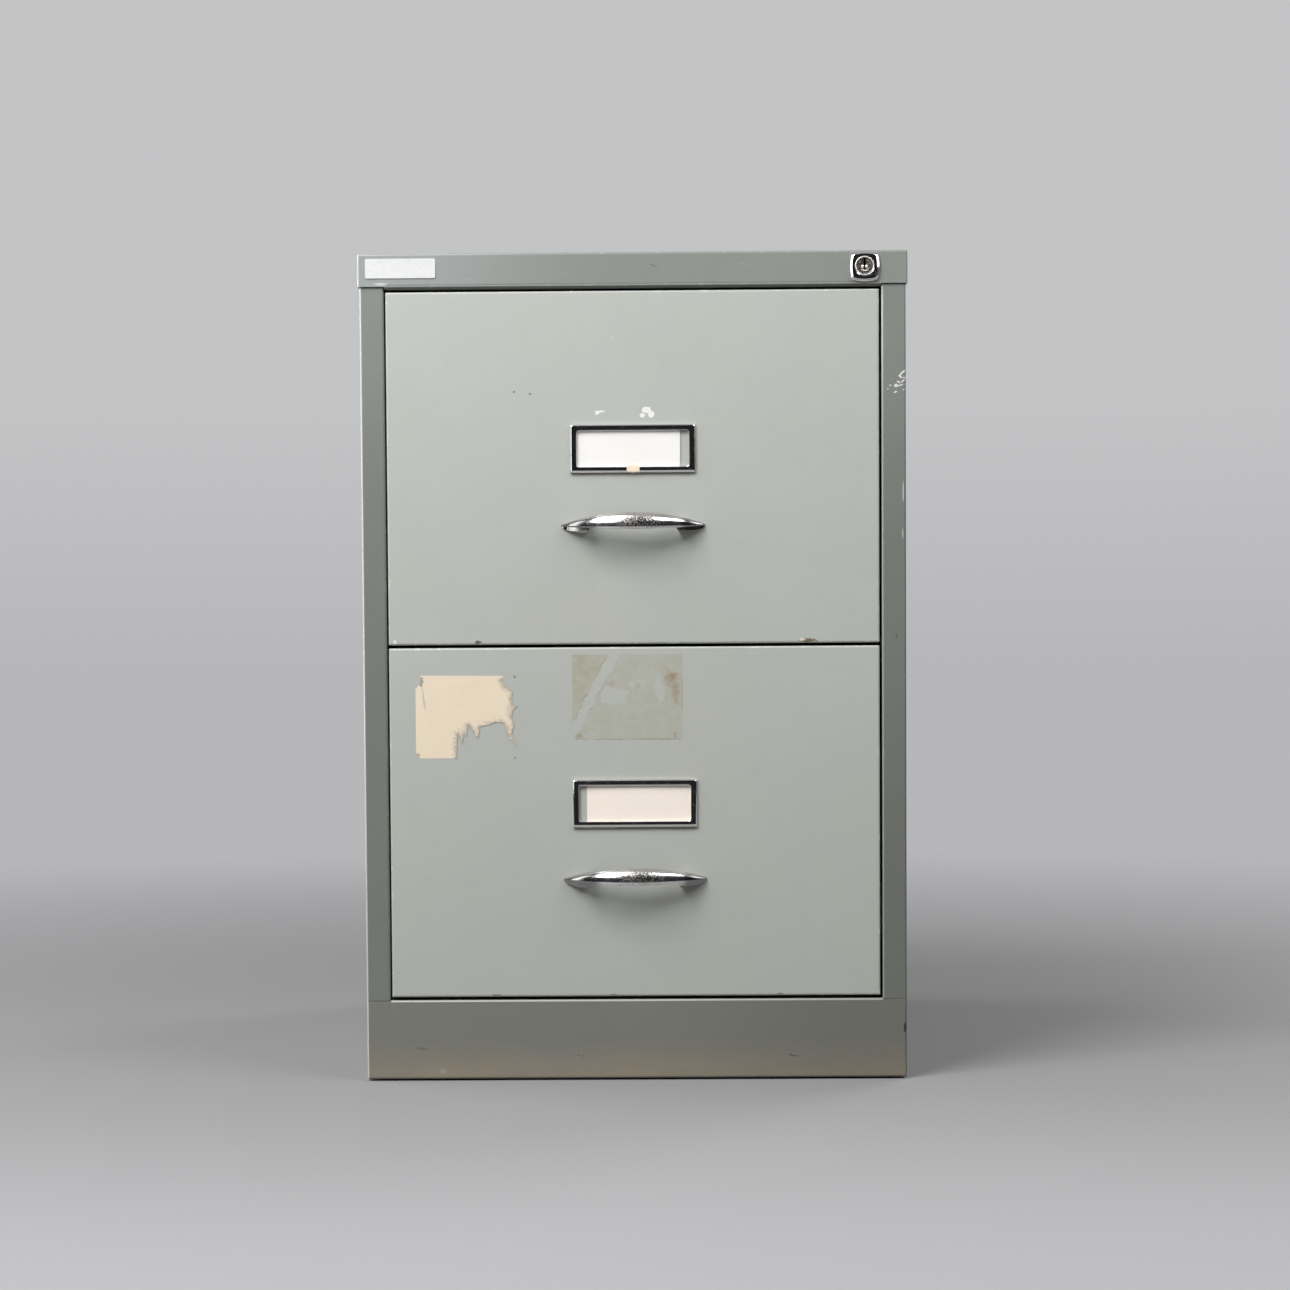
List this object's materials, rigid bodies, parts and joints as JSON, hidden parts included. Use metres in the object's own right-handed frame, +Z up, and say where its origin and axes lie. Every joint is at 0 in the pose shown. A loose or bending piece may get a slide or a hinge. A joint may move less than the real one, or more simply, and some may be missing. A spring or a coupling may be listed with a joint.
{
  "type": "two-drawer filing cabinet",
  "caption": "Low steel filing cabinet with two deep drawers on telescopic ball runners, chrome pulls, label holders and a lock that holds both drawers.",
  "frame": {"origin": "middle of the footprint of the whole cabinet, handles included, on the floor", "axes": "+X to the right as seen from the front, -Y out of the drawer fronts, +Z up"},
  "size_m": [0.47, 0.6474, 0.711],
  "materials": {
    "frame_paint": "worn semi-matt grey-green stove enamel",
    "drawer_paint": "worn semi-matt pale grey-green stove enamel",
    "inner_paint": "thin matt grey-green enamel",
    "galvanised": "galvanised sheet",
    "runner_steel": "bright zinc, lightly greased",
    "ball_steel": "polished balls in pressed cages",
    "zinc_steel": "zinc plated",
    "chrome_trim": "polished chrome plate with light wear",
    "lock_brass": "nickelled brass",
    "nylon": "natural nylon",
    "glide_rubber": "black rubber",
    "badge_white": "white plate, blank",
    "card": "plain card"
  },
  "bodies": {
    "cabinet": {"side_panel_left": "frame_paint", "side_panel_right": "frame_paint", "back_panel": "frame_paint", "top_cap": "frame_paint", "plinth": "frame_paint", "base_pan": "frame_paint", "header_rail": "frame_paint", "upright_front_left": "galvanised", "upright_front_right": "galvanised", "upright_rear_left": "galvanised", "upright_rear_right": "galvanised", "badge_plate": "badge_white", "corner_glides": "glide_rubber", "rear_buffers": "glide_rubber", "lock_housing": "chrome_trim", "lock_nut": "zinc_steel", "lock_bar_guides": "nylon", "cabinet_runner_upper_left": "runner_steel", "cabinet_runner_upper_right": "runner_steel", "cabinet_runner_lower_left": "runner_steel", "cabinet_runner_lower_right": "runner_steel"},
    "lock_cylinder": {"lock_plug": "lock_brass", "lock_cam": "zinc_steel", "cam_screw": "zinc_steel"},
    "lock_bar": {"lock_bar": "zinc_steel"},
    "upper_drawer": {"drawer_runner_upper_left": "runner_steel", "drawer_runner_upper_right": "runner_steel", "drawer_front_upper": "drawer_paint", "front_liner_upper": "inner_paint", "drawer_tray_upper": "inner_paint", "drawer_back_upper": "inner_paint", "file_rails_upper": "zinc_steel", "handle_screws_upper": "zinc_steel", "lock_catch_upper": "zinc_steel", "tray_rivets_upper": "zinc_steel", "handle_upper": "chrome_trim", "label_holder_upper": "chrome_trim", "label_card_upper": "card"},
    "upper_middle_runners": {"middle_runner_upper_left": "runner_steel", "middle_runner_upper_right": "runner_steel"},
    "upper_outer_cages": {"outer_ball_cages_upper": "ball_steel"},
    "upper_inner_cages": {"inner_ball_cages_upper": "ball_steel"},
    "lower_drawer": {"drawer_runner_lower_left": "runner_steel", "drawer_runner_lower_right": "runner_steel", "drawer_front_lower": "drawer_paint", "front_liner_lower": "inner_paint", "drawer_tray_lower": "inner_paint", "drawer_back_lower": "inner_paint", "file_rails_lower": "zinc_steel", "handle_screws_lower": "zinc_steel", "lock_catch_lower": "zinc_steel", "tray_rivets_lower": "zinc_steel", "handle_lower": "chrome_trim", "label_holder_lower": "chrome_trim", "label_card_lower": "card"},
    "lower_middle_runners": {"middle_runner_lower_left": "runner_steel", "middle_runner_lower_right": "runner_steel"},
    "lower_outer_cages": {"outer_ball_cages_lower": "ball_steel"},
    "lower_inner_cages": {"inner_ball_cages_lower": "ball_steel"}
  },
  "joints": [
    {"name": "upper_drawer_slide", "type": "slide", "parent": "cabinet", "child": "upper_drawer", "axis": [0, -1, 0], "range_m": [0, 0.53]},
    {"name": "upper_middle_runners_slide", "type": "slide", "parent": "cabinet", "child": "upper_middle_runners", "axis": [0, -1, 0], "range_m": [0, 0.2655]},
    {"name": "upper_outer_cages_slide", "type": "slide", "parent": "cabinet", "child": "upper_outer_cages", "axis": [0, -1, 0], "range_m": [0, 0.133]},
    {"name": "upper_inner_cages_slide", "type": "slide", "parent": "cabinet", "child": "upper_inner_cages", "axis": [0, -1, 0], "range_m": [0, 0.398]},
    {"name": "lower_drawer_slide", "type": "slide", "parent": "cabinet", "child": "lower_drawer", "axis": [0, -1, 0], "range_m": [0, 0.53]},
    {"name": "lower_middle_runners_slide", "type": "slide", "parent": "cabinet", "child": "lower_middle_runners", "axis": [0, -1, 0], "range_m": [0, 0.2655]},
    {"name": "lower_outer_cages_slide", "type": "slide", "parent": "cabinet", "child": "lower_outer_cages", "axis": [0, -1, 0], "range_m": [0, 0.133]},
    {"name": "lower_inner_cages_slide", "type": "slide", "parent": "cabinet", "child": "lower_inner_cages", "axis": [0, -1, 0], "range_m": [0, 0.398]},
    {"name": "lock_turn", "type": "hinge", "parent": "cabinet", "child": "lock_cylinder", "pos_m": [0.1982, -0.29675, 0.697], "axis": [0, 1, 0], "range_deg": [0, 90]},
    {"name": "lock_bar_lift", "type": "slide", "parent": "cabinet", "child": "lock_bar", "axis": [0, 0, 1], "range_m": [0, 0.0113]}
  ],
  "couplings": [
    {"joint": "upper_middle_runners_slide", "follows": "upper_drawer_slide", "ratio": 0.5},
    {"joint": "upper_outer_cages_slide", "follows": "upper_drawer_slide", "ratio": 0.25},
    {"joint": "upper_inner_cages_slide", "follows": "upper_drawer_slide", "ratio": 0.75},
    {"joint": "lower_middle_runners_slide", "follows": "lower_drawer_slide", "ratio": 0.5},
    {"joint": "lower_outer_cages_slide", "follows": "lower_drawer_slide", "ratio": 0.25},
    {"joint": "lower_inner_cages_slide", "follows": "lower_drawer_slide", "ratio": 0.75},
    {"joint": "lock_turn", "follows": "lock_bar_lift", "rad_per_m": 138.9}
  ]
}
